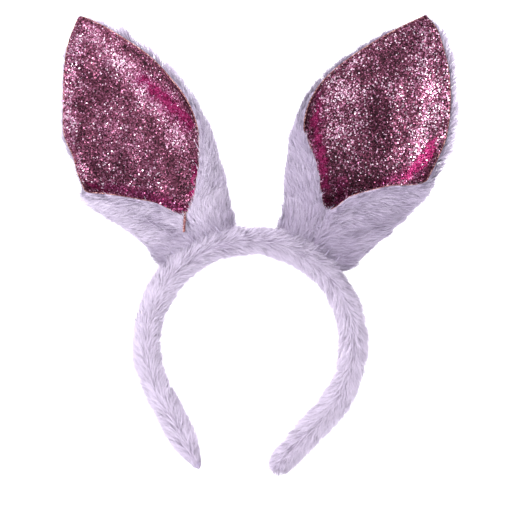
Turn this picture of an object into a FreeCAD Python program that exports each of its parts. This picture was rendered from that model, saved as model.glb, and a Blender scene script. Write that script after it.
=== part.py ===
"""Bunny-ear headband: a sprung plastic hoop in a faux-fur sleeve, carrying two wired fabric ears.

Millimetres. The origin is the centre of the circle that the hoop follows, +Z points up through the crown,
+X to the right of someone facing the headband, and the ears open towards -Y, the front.
Both ears are made once in a frame of their own, with local x outwards, local y to the back and local z along
the ear, and the left one is the mirror image of the right one, placed with its own angles.
"""
import FreeCAD, Part
import Sketcher
import math
import os

from FreeCAD import Placement, Rotation, Vector

SIZES = [
    # the plastic hoop
    ("hoop_radius", 65, "radius of the hoop's centre line"),
    ("hoop_thick", 2, "radial thickness of the hoop strip"),
    ("hoop_width", 10, "front-to-back width of the hoop strip"),
    ("hoop_roll", 7.5, "how far the hoop is turned about Y under the ears, degrees"),
    ("flex_angle", 58, "angle from the crown to where each arm flexes, degrees"),
    ("arc_angle", 125.5, "angle from the crown to where each arm runs straight, degrees"),
    ("arm_straight", 45, "length of an arm's straight end"),
    ("knuckle_clearance", 0.15, "gap round the rounded end of an arm at its flex line"),
    # the fur sleeve, its pile included
    ("sleeve_thick", 14, "radial thickness of the sleeve"),
    ("sleeve_width", 17, "front-to-back width of the sleeve"),
    ("sleeve_round", 5, "radius of the sleeve's long edges"),
    ("sleeve_clearance", 0.3, "gap between the hoop and the sleeve"),
    ("sleeve_cap", 4, "thickness of the sleeve past the hoop's end"),
    ("sleeve_gap", 2.8, "gap between two lengths of sleeve at a flex line"),
    # sewing thread
    ("thread_radius", 0.4, "radius of the sewing thread"),
    ("seam_pitch", 6, "distance between stitches of the sleeve's closing seam"),
    ("seam_stitch", 3.2, "length of one stitch of the closing seam"),
    ("tip_ring", 3.2, "radius of the gathering thread at a sleeve's end"),
    ("tack_ring", 2.6, "radius of a hand stitch that tacks the ears"),
    # where the ears stand on the hoop
    ("left_ear_angle", 27.5, "angle from +Z to the left ear's root, degrees"),
    ("right_ear_angle", 34, "angle from +Z to the right ear's root, degrees"),
    ("left_ear_lean", 28, "angle from +Z to the left ear's length, degrees"),
    ("right_ear_lean", 26, "angle from +Z to the right ear's length, degrees"),
    ("left_ear_twist", -10, "turn of the left ear about its length, degrees"),
    ("right_ear_twist", 4, "turn of the right ear about its length, degrees"),
    # the ear
    ("ear_length", 158, "from the sleeve to the ear's tip"),
    ("ear_half_width", 45.5, "from the ear's middle line to its outer edge, at the widest"),
    ("vee_height", 21, "from the sleeve to the point where the ear's edges meet"),
    ("waist_height", 11.8, "from the sleeve to the line about which the ear tilts"),
    ("waist_radius", 11, "half the depth of the ear's gathered foot"),
    ("waist_clearance", 0.4, "gap between the gathered foot and its root"),
    ("root_length", 50, "length of the ear's root along the hoop"),
    ("root_depth", 26, "front-to-back depth of the ear's root"),
    ("root_lip", 4.4, "height of the root's lips above the sleeve"),
    ("root_grip", 5.5, "how far the root reaches down the sleeve's sides"),
    ("back_at_vee", 10, "how far behind the hoop's plane the ear's back lies at the vee"),
    ("back_at_tip", 15.8, "how far behind the hoop's plane the ear's back lies at the tip"),
    ("fold_height", 104, "from the sleeve to the line about which the tip folds"),
    ("fold_forward", 45, "how far the tip folds forwards, degrees"),
    ("fold_back", 20, "how far the tip folds backwards, degrees"),
    ("fold_clearance", 0.5, "least gap between the ear's lower and upper parts"),
    # the ear's layers, from the middle of the wadding
    ("wadding_thick", 2, "thickness of the wadding"),
    ("layer_clearance", 0.2, "gap between neighbouring layers"),
    ("front_thick", 0.8, "thickness of the glitter fabric"),
    ("back_thick", 5.6, "thickness of the fur fabric with its pile laid down"),
    ("tape_margin", 0.3, "from the edge tape to the ear's edge"),
    ("tape_width", 0.9, "width of the edge tape"),
    ("tape_thick", 1.4, "thickness of the folded edge tape"),
    ("wire_margin", 2.3, "from the wire's centre to the ear's edge"),
    ("wire_tip_margin", 4, "from the ear's tip to the middle of the wire's bend"),
    ("wire_radius", 0.6, "radius of the ear's wire"),
    ("wadding_margin", 3.4, "from the wadding to the ear's edge"),
]

# The ear's shape. Each row is a share of the way from the vee to the tip, then for the outer and the inner side:
# the half width seen from the front, as a share of ear_half_width, and the angle by which the fabric has turned
# forwards where it ends, in degrees. The last value flattens the section front to back.
EAR_ROWS = [
    # share, outer half width, outer turn, inner half width, inner turn, flattening
    (0.000, 0.637, 173, 0.615, 167, 0.38),
    (0.080, 0.747, 167, 0.681, 152, 0.38),
    (0.168, 0.879, 148, 0.758, 133, 0.40),
    (0.255, 0.967, 116, 0.835, 117, 0.44),
    (0.358, 1.000, 86, 0.857, 98, 0.48),
    (0.474, 0.967, 64, 0.857, 81, 0.54),
    (0.606, 0.879, 50, 0.791, 66, 0.60),
    (0.737, 0.703, 39, 0.637, 52, 0.66),
    (0.854, 0.495, 31, 0.440, 40, 0.75),
    (0.942, 0.286, 24, 0.264, 30, 0.85),
    (1.000, 0.099, 18, 0.088, 20, 1.00),
]
SECTION_STEPS = 120       # steps in which a section's bend is drawn
SECTION_POINTS = 25       # points that a layer's curve is drawn through
EAR_LEVELS = 16           # heights at which an ear's sections are drawn
WADDING_LEVELS = 15       # of these, the ones that the wadding reaches

doc = FreeCAD.newDocument("AnimalEarsHeadband")


# ---------------------------------------------------------------- the sheet of sizes

def make_sheet():
    made = doc.addObject("Spreadsheet::Sheet", "sizes")
    for row, (alias, value, meaning) in enumerate(SIZES, 1):
        made.set(f"A{row}", alias)
        made.set(f"B{row}", str(value))
        made.set(f"C{row}", meaning)
        made.setAlias(f"B{row}", alias)
    return made


sheet = make_sheet()
doc.recompute()


def size(alias):
    return float(sheet.get(alias))


SIDES = {"left": -1, "right": 1}
finished = {}             # node name: the document object that holds its shape


# ---------------------------------------------------------------- PartDesign helpers

def new_body(label):
    body = doc.addObject("PartDesign::Body", label)
    body.Label = label
    body.Placement = Placement(Vector(), Rotation(Vector(0, 1, 0), size("hoop_roll")))
    body.setExpression("Placement.Rotation.Angle", "sizes.hoop_roll")
    return body


def origin_plane(body, role):
    return next(f for f in body.Origin.OriginFeatures if f.Role == role)


def radial_sketch(body, name, angle, distance="0"):
    """A sketch square to the hoop's line, at an angle from the crown: x runs along Y and y outwards.
    angle and distance, which shifts it on along the hoop's line, are expressions."""
    sketch = body.newObject("Sketcher::SketchObject", name)
    sketch.AttachmentSupport = [(origin_plane(body, "YZ_Plane"), "")]
    sketch.MapMode = "FlatFace"
    sketch.AttachmentOffset = Placement(Vector(), Rotation(Vector(1, 0, 0), 1))
    sketch.setExpression("AttachmentOffset.Rotation.Angle", angle)
    turned = f"({angle}) * 1 deg"
    sketch.setExpression("AttachmentOffset.Base.y", f"-({distance}) * sin({turned})")
    sketch.setExpression("AttachmentOffset.Base.z", f"({distance}) * cos({turned})")
    return sketch


def add_rectangle(sketch, prefix, width, thick):
    """A rectangle centred on the hoop's line, whose width and thickness are expressions."""
    first = sketch.GeometryCount
    radius = size("hoop_radius")
    low, high = Vector(-2, radius - 1, 0), Vector(2, radius + 1, 0)
    corners = [low, Vector(high.x, low.y, 0), high, Vector(low.x, high.y, 0)]
    for at in range(4):
        sketch.addGeometry(Part.LineSegment(corners[at], corners[(at + 1) % 4]), False)
    add = sketch.addConstraint
    limit = Sketcher.Constraint
    for at in range(4):
        add(limit("Coincident", first + at, 2, first + (at + 1) % 4, 1))
    add(limit("Horizontal", first + 2))
    for at in (1, 3):
        add(limit("Vertical", first + at))
    add(limit("Symmetric", first, 1, first, 2, -2))
    named = [
        ("width", limit("DistanceX", first, 1, first, 2, 4.0), width),
        ("thick", limit("DistanceY", first + 1, 1, first + 1, 2, 2.0), thick),
        ("base", limit("DistanceY", -1, 1, first, 1, radius - 1), f"sizes.hoop_radius - ({thick}) / 2"),
    ]
    for word, constraint, value in named:
        index = add(constraint)
        sketch.renameConstraint(index, prefix + word)
        sketch.setExpression(f"Constraints.{prefix}{word}", value)


def turn(body, sketch, name, angle, side=0):
    """Revolves a radial sketch about Y: both ways by half the angle if side is 0, and else towards that side."""
    made = body.newObject("PartDesign::Revolution", name)
    made.Profile = sketch
    made.ReferenceAxis = (sketch, ["H_Axis"])
    made.Midplane = side == 0
    made.Reversed = side < 0
    made.setExpression("Angle", angle)
    return made


def pad(body, sketch, name, length, side=1, midplane=False):
    made = body.newObject("PartDesign::Pad", name)
    made.Profile = sketch
    made.Midplane = midplane
    made.Reversed = side < 0
    made.setExpression("Length", length)
    return made


def flex_circle(body, name, sides, radius):
    """Circles in the hoop's plane, centred on the flex lines of these sides."""
    limit = Sketcher.Constraint
    sketch = body.newObject("Sketcher::SketchObject", name)
    sketch.AttachmentSupport = [(origin_plane(body, "XZ_Plane"), "")]
    sketch.MapMode = "FlatFace"
    for at, side in enumerate(sides):
        across = side * size("hoop_radius") * math.sin(math.radians(size("flex_angle")))
        up = size("hoop_radius") * math.cos(math.radians(size("flex_angle")))
        sketch.addGeometry(Part.Circle(Vector(across, up, 0), Vector(0, 0, 1), 1.0), False)
        first, second = ((at, 3, -1, 1), (-1, 1, at, 3))[side > 0], (-1, 1, at, 3)
        named = [
            ("across", limit("DistanceX", *first, abs(across)), "sizes.hoop_radius * sin(sizes.flex_angle * 1 deg)"),
            ("up", limit("DistanceY", *second, up), "sizes.hoop_radius * cos(sizes.flex_angle * 1 deg)"),
            ("radius", limit("Radius", at, 1.0), radius),
        ]
        for word, constraint, value in named:
            index = sketch.addConstraint(constraint)
            sketch.renameConstraint(index, f"{word}{at}")
            sketch.setExpression(f"Constraints.{word}{at}", value)
    return sketch


# ---------------------------------------------------------------- the plastic hoop

def hoop_crown():
    body = new_body("hoop_crown")
    sketch = radial_sketch(body, "hoop_crown_profile", "0")
    add_rectangle(sketch, "hoop_", "sizes.hoop_width", "sizes.hoop_thick")
    turn(body, sketch, "hoop_crown_arc", "2 * sizes.flex_angle")
    doc.recompute()
    clear = "sizes.hoop_thick / 2 + sizes.knuckle_clearance"
    circles = flex_circle(body, "hoop_crown_knuckles", (1, -1), clear)
    cut = body.newObject("PartDesign::Pocket", "hoop_crown_seats")
    cut.Profile = circles
    cut.Midplane = True
    cut.setExpression("Length", "2 * sizes.hoop_width")
    return body


def hoop_arm(word, side):
    name = f"hoop_{word}_arm"
    body = new_body(name)
    start = f"{side} * sizes.flex_angle"
    sketch = radial_sketch(body, name + "_profile", start)
    add_rectangle(sketch, "hoop_", "sizes.hoop_width", "sizes.hoop_thick")
    turn(body, sketch, name + "_arc", "sizes.arc_angle - sizes.flex_angle", side)
    knuckle = flex_circle(body, name + "_knuckle", (side,), "sizes.hoop_thick / 2")
    pad(body, knuckle, name + "_nose", "sizes.hoop_width", midplane=True)
    end = radial_sketch(body, name + "_end", f"{side} * sizes.arc_angle")
    add_rectangle(end, "end_", "sizes.hoop_width", "sizes.hoop_thick")
    pad(body, end, name + "_straight", "sizes.arm_straight", side)
    doc.recompute()
    corners = end_corners(body, side)
    last = body.Tip
    rounded = body.newObject("PartDesign::Fillet", name + "_round")
    rounded.Base = (last, corners)
    rounded.setExpression("Radius", "sizes.hoop_width * 0.45")
    return body


def straight_end(side):
    """The centre of an arm's end and the direction in which the arm runs there, before the hoop's roll."""
    angle = math.radians(size("arc_angle"))
    along = Vector(side * math.cos(angle), 0, -math.sin(angle))
    start = Vector(side * math.sin(angle), 0, math.cos(angle)) * size("hoop_radius")
    return start + along * size("arm_straight"), along


def end_corners(body, side):
    """The names of the two short edges at the end of an arm."""
    end, along = straight_end(side)
    half = size("hoop_width") / 2
    names = []
    for index, edge in enumerate(body.Tip.Shape.Edges, 1):
        reach = [(v.Point - end).dot(along) for v in edge.Vertexes]
        level = {round(v.Point.y, 3) for v in edge.Vertexes}
        if max(map(abs, reach)) < 0.01 and len(level) == 1 and abs(abs(level.pop()) - half) < 0.01:
            names.append(f"Edge{index}")
    return names


# ---------------------------------------------------------------- the fur sleeve

GAP_ANGLE = "(sizes.sleeve_gap / 2 / sizes.hoop_radius * 180 / 3.14159265)"


def add_sleeve_profile(sketch, prefix, hollow=True):
    add_rectangle(sketch, prefix, "sizes.sleeve_width", "sizes.sleeve_thick")
    if hollow:
        room = "2 * sizes.sleeve_clearance"
        add_rectangle(sketch, prefix + "slot_", f"sizes.hoop_width + {room}", f"sizes.hoop_thick + {room}")


def round_long_edges(body, name, ends=()):
    """Fillets the sleeve's four long edges, and the edges of any face whose centre is at one of ends."""
    half, chosen = size("sleeve_width") / 2, []
    shape = body.Tip.Shape
    closing = [f for f in shape.Faces if any((f.CenterOfMass - e).Length < 0.05 for e in ends)]
    for index, edge in enumerate(shape.Edges, 1):
        outside = all(abs(abs(v.Point.y) - half) < 1e-3 for v in edge.Vertexes)
        across = abs(edge.Length - size("sleeve_thick")) < 1e-3 or abs(edge.Length - 2 * half) < 1e-3
        at_end = any(edge.isSame(e) for f in closing for e in f.Edges)
        if (outside and not across) or at_end:
            chosen.append(f"Edge{index}")
    last = body.Tip
    rounded = body.newObject("PartDesign::Fillet", name)
    rounded.Base = (last, chosen)
    rounded.setExpression("Radius", "sizes.sleeve_round")


def sleeve_crown():
    body = new_body("sleeve_crown")
    sketch = radial_sketch(body, "sleeve_crown_profile", "0")
    add_sleeve_profile(sketch, "sleeve_")
    turn(body, sketch, "sleeve_crown_arc", f"2 * (sizes.flex_angle - {GAP_ANGLE})")
    doc.recompute()
    round_long_edges(body, "sleeve_crown_round")
    return body


def sleeve_arm(word, side):
    name = f"sleeve_{word}_arm"
    body = new_body(name)
    sketch = radial_sketch(body, name + "_profile", f"{side} * (sizes.flex_angle + {GAP_ANGLE})")
    add_sleeve_profile(sketch, "sleeve_")
    turn(body, sketch, name + "_arc", f"sizes.arc_angle - sizes.flex_angle - {GAP_ANGLE}", side)
    straight = radial_sketch(body, name + "_straight_profile", f"{side} * sizes.arc_angle")
    add_sleeve_profile(straight, "straight_")
    pad(body, straight, name + "_straight", "sizes.arm_straight + sizes.sleeve_clearance", side)
    reach = f"{side} * (sizes.arm_straight + sizes.sleeve_clearance)"
    cap = radial_sketch(body, name + "_cap_profile", f"{side} * sizes.arc_angle", reach)
    add_sleeve_profile(cap, "cap_", hollow=False)
    pad(body, cap, name + "_cap", "sizes.sleeve_cap", side)
    doc.recompute()
    end, along = straight_end(side)
    tip = end + along * (size("sleeve_clearance") + size("sleeve_cap"))
    round_long_edges(body, name + "_round", [tip])
    return body


# ---------------------------------------------------------------- shapes made with Part's own functions

def feature(label, shape, placement=None):
    """A Part::Feature of this shape, placed after the shape is set."""
    made = doc.addObject("Part::Feature", label)
    made.Label = label
    made.Shape = shape
    if placement is not None:
        made.Placement = placement
    return made


def hoop_placement():
    return Placement(Vector(), Rotation(Vector(0, 1, 0), size("hoop_roll")))


def thread_loop(radius, at, axis):
    return Part.makeTorus(radius, size("thread_radius"), at, axis)


def stitch(at, along, length=None):
    """A short round-ended thread centred at a point, as long as one stitch of the seam unless told otherwise."""
    radius, half = size("thread_radius"), (length or size("seam_stitch")) / 2
    start = at - along * (half - radius)
    body = Part.makeCylinder(radius, 2 * (half - radius), start, along)
    ends = [Part.makeSphere(radius, at + along * reach) for reach in (half - radius, radius - half)]
    return body.multiFuse(ends)


def seam(label, side):
    """The ladder stitches that close the sleeve, along the middle of its back, for the crown or for one arm."""
    radius, back = size("hoop_radius"), size("sleeve_width") / 2
    step = math.degrees(size("seam_pitch") / radius)
    gap = math.degrees((size("sleeve_gap") / 2 + size("seam_stitch")) / radius)
    if side == 0:
        count = int((size("flex_angle") - gap) / step)
        angles = [n * step for n in range(-count, count + 1)]
    else:
        first = size("flex_angle") + gap
        count = int((size("arc_angle") - first) / step)
        angles = [side * (first + n * step) for n in range(count + 1)]
    made = []
    for angle in map(math.radians, angles):
        at = Vector(radius * math.sin(angle), back, radius * math.cos(angle))
        made.append(stitch(at, Vector(math.cos(angle), 0, -math.sin(angle))))
    if side:
        end, along = straight_end(side)
        start = end - along * size("arm_straight")
        count = int(size("arm_straight") / size("seam_pitch"))
        for n in range(1, count + 1):
            made.append(stitch(start + along * (n * size("seam_pitch")) + Vector(0, back, 0), along))
    return feature(label, Part.makeCompound(made), hoop_placement())


def tip_gather(label, side):
    """The ring of thread that draws a sleeve's end together, half sunk in its end."""
    end, along = straight_end(side)
    at = end + along * (size("sleeve_clearance") + size("sleeve_cap"))
    return feature(label, thread_loop(size("tip_ring"), at, along), hoop_placement())


# ---------------------------------------------------------------- the ear's surface

def row_curves():
    """A smooth curve through each column of EAR_ROWS, as functions of the share of the height."""
    shares = [row[0] for row in EAR_ROWS]
    curves = []
    for column in range(1, len(EAR_ROWS[0])):
        line = Part.BSplineCurve()
        line.interpolate([Vector(row[0], row[column], 0) for row in EAR_ROWS], Parameters=shares)
        curves.append(lambda share, line=line: line.value(share).y)
    return curves


EAR_CURVES = row_curves()


def share_of_height(height):
    """How far up between the vee and the tip a height is, from 0 to 1."""
    share = (height - size("vee_height")) / (size("ear_length") - size("vee_height"))
    return min(max(share, 0.0), 1.0)


def back_line(height):
    """How far behind the hoop's plane the ear's back lies at this height."""
    low, high = size("back_at_vee"), size("back_at_tip")
    return low + (high - low) * share_of_height(height) ** 1.4


def half_section(half_width, turned):
    """One side of a section, a circle's arc, as points (across, forwards) from its middle to its edge."""
    turned = math.radians(turned)
    radius = half_width / math.sin(min(turned, math.pi / 2))
    angles = [turned * step / SECTION_STEPS for step in range(SECTION_STEPS + 1)]
    return [(radius * math.sin(angle), radius * (1 - math.cos(angle))) for angle in angles]


def section(height):
    """The middle surface's section at a height: (x, y) points from the inner edge to the outer one."""
    share = share_of_height(height)
    outer_width, outer_turn, inner_width, inner_turn, flat = [curve(share) for curve in EAR_CURVES]
    widest = size("ear_half_width")
    outer = half_section(outer_width * widest, outer_turn)
    inner = half_section(inner_width * widest, inner_turn)
    back = back_line(height)
    line = [(-x, back - y * flat) for x, y in reversed(inner)] + [(x, back - y * flat) for x, y in outer[1:]]
    return line


def lengths(line):
    total = [0.0]
    for (x0, y0), (x1, y1) in zip(line, line[1:]):
        total.append(total[-1] + math.hypot(x1 - x0, y1 - y0))
    return total


def point_along(line, distance):
    """The point and the forward normal of a section's line at a distance from its inner edge."""
    total = lengths(line)
    distance = min(max(distance, 0.0), total[-1])
    at = next(n for n in range(1, len(total)) if total[n] >= distance or n == len(total) - 1)
    (x0, y0), (x1, y1) = line[at - 1], line[at]
    share = (distance - total[at - 1]) / (total[at] - total[at - 1])
    run = math.hypot(x1 - x0, y1 - y0)
    normal = ((y1 - y0) / run, -(x1 - x0) / run)
    return (x0 + (x1 - x0) * share, y0 + (y1 - y0) * share), normal


def section_point(height, from_edge, edge, offset=0.0):
    """A point of the ear: from_edge along the section from one edge, -1 inner or 1 outer, and offset forwards."""
    line = section(height)
    distance = from_edge if edge < 0 else lengths(line)[-1] - from_edge
    (x, y), (nx, ny) = point_along(line, distance)
    return Vector(x + nx * offset, y + ny * offset, height)


def layer_wire(height, low, high, margin):
    """The closed outline of a layer at a height, between two offsets forwards of the middle surface."""
    line = section(height)
    total = lengths(line)[-1]
    margin = min(margin, 0.3 * total)
    places = [margin + (total - 2 * margin) * n / (SECTION_POINTS - 1) for n in range(SECTION_POINTS)]
    rims = []
    for offset in (low, high):
        found = [point_along(line, place) for place in places]
        rims.append([Vector(p[0] + n[0] * offset, p[1] + n[1] * offset, height) for p, n in found])
    edges = []
    for rim in rims:
        curve = Part.BSplineCurve()
        curve.interpolate(rim)
        edges.append(curve.toShape())
    edges.append(Part.makeLine(rims[0][0], rims[1][0]))
    edges.append(Part.makeLine(rims[0][-1], rims[1][-1]))
    return Part.Wire(Part.__sortEdges__(edges))


def heights(count=EAR_LEVELS):
    """The first heights at which an ear's sections are drawn, evenly spaced from the vee to the tip."""
    low, high = size("vee_height"), size("ear_length")
    return [low + (high - low) * n / (EAR_LEVELS - 1) for n in range(count)]


def layer(low, high, margin=0.0, count=EAR_LEVELS):
    """A layer of the ear as one solid, from the vee to the tip."""
    return Part.makeLoft([layer_wire(h, low, high, margin) for h in heights(count)], True, True)


def tape_outline(height, places, edge, half):
    """The closed outline of the edge tape at a height, over these distances from one edge."""
    near = [section_point(height, place, edge, -half) for place in places]
    far = [section_point(height, place, edge, half) for place in reversed(places)]
    return Part.makePolygon(near + far + near[:1])


def edge_tape():
    """The folded tape that binds the ear's edge: a strip up each side and one across the tip."""
    margin, width, half = size("tape_margin"), size("tape_width"), size("tape_thick") / 2
    top = size("ear_length")
    levels = heights(WADDING_LEVELS) + [top - width]
    pieces = []
    for edge in (-1, 1):
        outlines = [tape_outline(height, [margin, margin + width], edge, half) for height in levels]
        pieces.append(Part.makeLoft(outlines, True, True))
    reach = lengths(section(top))[-1] - 2 * margin
    places = [margin + reach * n / 6 for n in range(7)]
    across = [tape_outline(height, places, -1, half) for height in (top - width, top)]
    pieces.append(Part.makeLoft(across, True, True))
    return Part.makeCompound(pieces)


def wire_path():
    """The points that the wire's centre follows, up the inner edge, round the tip and down the outer edge."""
    margin, levels = size("wire_margin"), heights(WADDING_LEVELS)
    up = [section_point(h, margin, -1) for h in levels]
    down = [section_point(h, margin, 1) for h in reversed(levels)]
    top = size("ear_length") - size("wire_tip_margin")
    tip = section_point(top, lengths(section(top))[-1] / 2, -1)
    return up + [tip] + down


def tube(path, radius):
    """A round bar along these points, as a loft of circles square to it."""
    rings = []
    for n, point in enumerate(path):
        before, after = path[max(n - 1, 0)], path[min(n + 1, len(path) - 1)]
        rings.append(Part.Wire(Part.makeCircle(radius, point, after - before)))
    return Part.makeLoft(rings, True, True)


# ---------------------------------------------------------------- the ear's foot, fold and root

def racetrack(height, length, depth, back):
    """A long rounded outline across the ear at a height."""
    radius, half = depth / 2, (length - depth) / 2
    low, high = Vector(-half, back - radius, height), Vector(half, back - radius, height)
    far, near = Vector(half, back + radius, height), Vector(-half, back + radius, height)
    right = Part.Arc(high, Vector(half + radius, back, height), far).toShape()
    left = Part.Arc(near, Vector(-half - radius, back, height), low).toShape()
    return Part.Wire([Part.makeLine(low, high), right, Part.makeLine(far, near), left])


def gathered_foot():
    """The ear's gathered foot: a half round underneath that turns in the root, and a solid neck up to the vee."""
    radius, waist = size("waist_radius"), size("waist_height")
    length, top = size("root_length"), size("vee_height") - size("layer_clearance")
    neck = Part.makeLoft([racetrack(h, length, 2 * radius, 0.0) for h in (waist, top)], True, False)
    below = Part.makeBox(length, 2 * radius, radius, Vector(-length / 2, -radius, waist - radius))
    return neck.fuse(roller(radius, length - 2 * radius).common(below)).removeSplitter()


def roller(radius, reach):
    """A round-ended bar along the line about which the ear tilts."""
    waist = size("waist_height")
    bar = Part.makeCylinder(radius, reach, Vector(-reach / 2, 0, waist), Vector(1, 0, 0))
    ends = [Part.makeSphere(radius, Vector(side * reach / 2, 0, waist)) for side in (-1, 1)]
    return bar.multiFuse(ends)


def root(sleeve):
    """The ear's root, sewn to the sleeve: a saddle that fits the sleeve below and the gathered foot above."""
    length, depth, deep = size("root_length"), size("root_depth"), size("root_grip")
    block = Part.makeBox(length, depth, size("root_lip") + deep, Vector(-length / 2, -depth / 2, -deep))
    upright = [e for e in block.Edges if abs(e.tangentAt(e.FirstParameter).z) > 0.9]
    block = block.makeFillet(0.4 * depth, upright)
    groove = roller(size("waist_radius") + size("waist_clearance"), length - 2 * size("waist_radius"))
    return block.cut(groove).cut(sleeve)


def fold_axis():
    """The height and depth of the line about which the ear's tip folds: the middle of the section there."""
    height = size("fold_height")
    depths = [y for _, y in section(height)]
    return Vector(0, (min(depths) + max(depths)) / 2, height)


def fold_cutter():
    """What is taken out at the fold: a narrow gap that opens to the front and the back by the fold's range."""
    at, reach, gap = fold_axis(), 60.0, size("fold_clearance") / 2
    ahead = reach * math.tan(math.radians(size("fold_forward") / 2 + 1))
    behind = reach * math.tan(math.radians(size("fold_back") / 2 + 1))
    outline = [(-reach, ahead), (0, gap), (reach, behind), (reach, -behind), (0, -gap), (-reach, -ahead)]
    points = [Vector(-reach, at.y + y, at.z + z) for y, z in outline]
    return Part.Face(Part.makePolygon(points + points[:1])).extrude(Vector(2 * reach, 0, 0))


def split(shape, cutter):
    """The lower and the upper part of a layer that the fold divides, each as a list of its solids."""
    pieces = shape.cut(cutter).Solids
    middle = size("fold_height")
    lower = [s for s in pieces if s.CenterOfMass.z < middle]
    upper = [s for s in pieces if s.CenterOfMass.z >= middle]
    return lower, upper


def ear_placement(word, side):
    """Carries the right-hand ear's frame to an ear's place on the hoop. The left ear's shapes are mirrored first."""
    angle = math.radians(size(f"{word}_ear_angle"))
    outside = size("hoop_radius") + size("sleeve_thick") / 2
    foot = Vector(side * math.sin(angle) * outside, 0, math.cos(angle) * outside)
    lean = Rotation(Vector(0, 1, 0), side * size(f"{word}_ear_lean"))
    return Placement(foot, lean)


def twist_placement(word):
    """The ear's turn about its own length, above the root."""
    return Placement(Vector(), Rotation(Vector(0, 0, 1), size(f"{word}_ear_twist")))


def mirrored(shape, side):
    return shape if side > 0 else shape.mirror(Vector(), Vector(1, 0, 0))


def solid_of(solids):
    return solids[0] if len(solids) == 1 else Part.makeCompound(solids)


def ear_layers():
    """Every layer of the right-hand ear, as {name: (lower solids, upper solids)}."""
    half = size("wadding_thick") / 2
    gap = size("layer_clearance")
    layers = {
        "front": layer(half + gap, half + gap + size("front_thick")),
        "wadding": layer(-half, half, size("wadding_margin"), WADDING_LEVELS),
        "back": layer(-half - gap - size("back_thick"), -half - gap),
        "edge_tape": edge_tape(),
        "wire": tube(wire_path(), size("wire_radius")),
    }
    cutter = fold_cutter()
    return {name: split(shape, cutter) for name, shape in layers.items()}


def root_stitches():
    """The hand stitches through the root's lips into the sleeve, in front and behind."""
    depth, length = size("sleeve_width") / 2, size("root_length")
    ring = size("tack_ring")
    made = []
    for edge in (-1, 1):
        for n in range(-2, 3):
            at = Vector(n * length / 7, edge * (depth + 0.6), -ring)
            made.append(thread_loop(ring, at, Vector(1, 0, 0)))
    return Part.makeCompound(made)


def vee_tack():
    """The stitches that hold the ear's two edges together in front, just above the foot."""
    outside = size("wadding_thick") / 2 + size("layer_clearance") + size("back_thick") + 2 * size("thread_radius")
    made = []
    for rise in (2.0, 6.0):
        height = size("vee_height") + rise
        left, right = (section_point(height, 0.0, edge, -outside) for edge in (-1, 1))
        across = (right - left).normalize()
        made.append(stitch((left + right) / 2, across, (right - left).Length + size("seam_stitch")))
    return Part.makeCompound(made)


# ---------------------------------------------------------------- the whole headband

def keep(made):
    finished[made.Label] = made
    return made


def build_band():
    keep(hoop_crown())
    keep(sleeve_crown())
    keep(seam("seam_crown", 0))
    for word, side in SIDES.items():
        keep(hoop_arm(word, side))
        keep(sleeve_arm(word, side))
        keep(seam(f"seam_{word}_arm", side))
        keep(tip_gather(f"{word}_tip_gather", side))


def filled_sleeve():
    """The crown's sleeve with its slot for the hoop filled up."""
    width = size("hoop_width") + 1
    start, along = Vector(0, -width / 2, 0), Vector(0, 1, 0)
    outer = Part.makeCylinder(size("hoop_radius") + 2, width, start, along)
    inner = Part.makeCylinder(size("hoop_radius") - 2, width, start, along)
    return finished["sleeve_crown"].Shape.fuse(outer.cut(inner))


def build_ears():
    layers = ear_layers()
    foot, tack, stitches = gathered_foot(), vee_tack(), root_stitches()
    doc.recompute()
    whole = filled_sleeve()
    for word, side in SIDES.items():
        place = ear_placement(word, side)
        turned = place * twist_placement(word)
        for name, (lower, upper) in layers.items():
            keep(feature(f"{word}_ear_{name}_lower", mirrored(solid_of(lower), side), turned))
            keep(feature(f"{word}_ear_{name}_upper", mirrored(solid_of(upper), side), turned))
        keep(feature(f"{word}_ear_foot", mirrored(foot, side), place))
        keep(feature(f"{word}_ear_vee_tack", mirrored(tack, side), turned))
        here = whole.copy()
        here.transformShape(place.inverse().toMatrix(), True)
        keep(feature(f"{word}_ear_root", mirrored(root(mirrored(here, side)), side), place))
        keep(feature(f"{word}_root_stitches", mirrored(stitches, side), place))


def check_and_write():
    doc.recompute()
    for thing in doc.Objects:
        if any(word in thing.State for word in ("Invalid", "Error")):
            raise RuntimeError(f"{thing.Label} failed: {thing.State}")
    for name, thing in finished.items():
        if thing.Shape.isNull() or not thing.Shape.isValid() or not thing.Shape.Solids:
            raise RuntimeError(f"{name} has no valid shape")
    os.makedirs("parts", exist_ok=True)
    for name, thing in finished.items():
        thing.Shape.exportStep(f"parts/{name}.step")
        print(f"{name:28s} solids {len(thing.Shape.Solids):3d}  volume {thing.Shape.Volume:10.2f}")


build_band()
build_ears()
check_and_write()
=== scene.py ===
"""Bunny-ear headband in lavender faux fur with glitter inner ears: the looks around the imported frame.

Lengths are in millimetres and angles in degrees until a mesh is made; MM turns them into the frame's metres.
The band is described by s, the distance along the hoop from its crown (negative to the left), and psi, the
angle round the band, 0 in front and 90 on the side away from the head. An ear is described by u, from -1 at
its inner edge to 1 at its outer edge, and h, the height above the band. The fur is made of tufts of tapered
ribbons, and the glitter of separate flakes.
"""

import math

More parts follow.
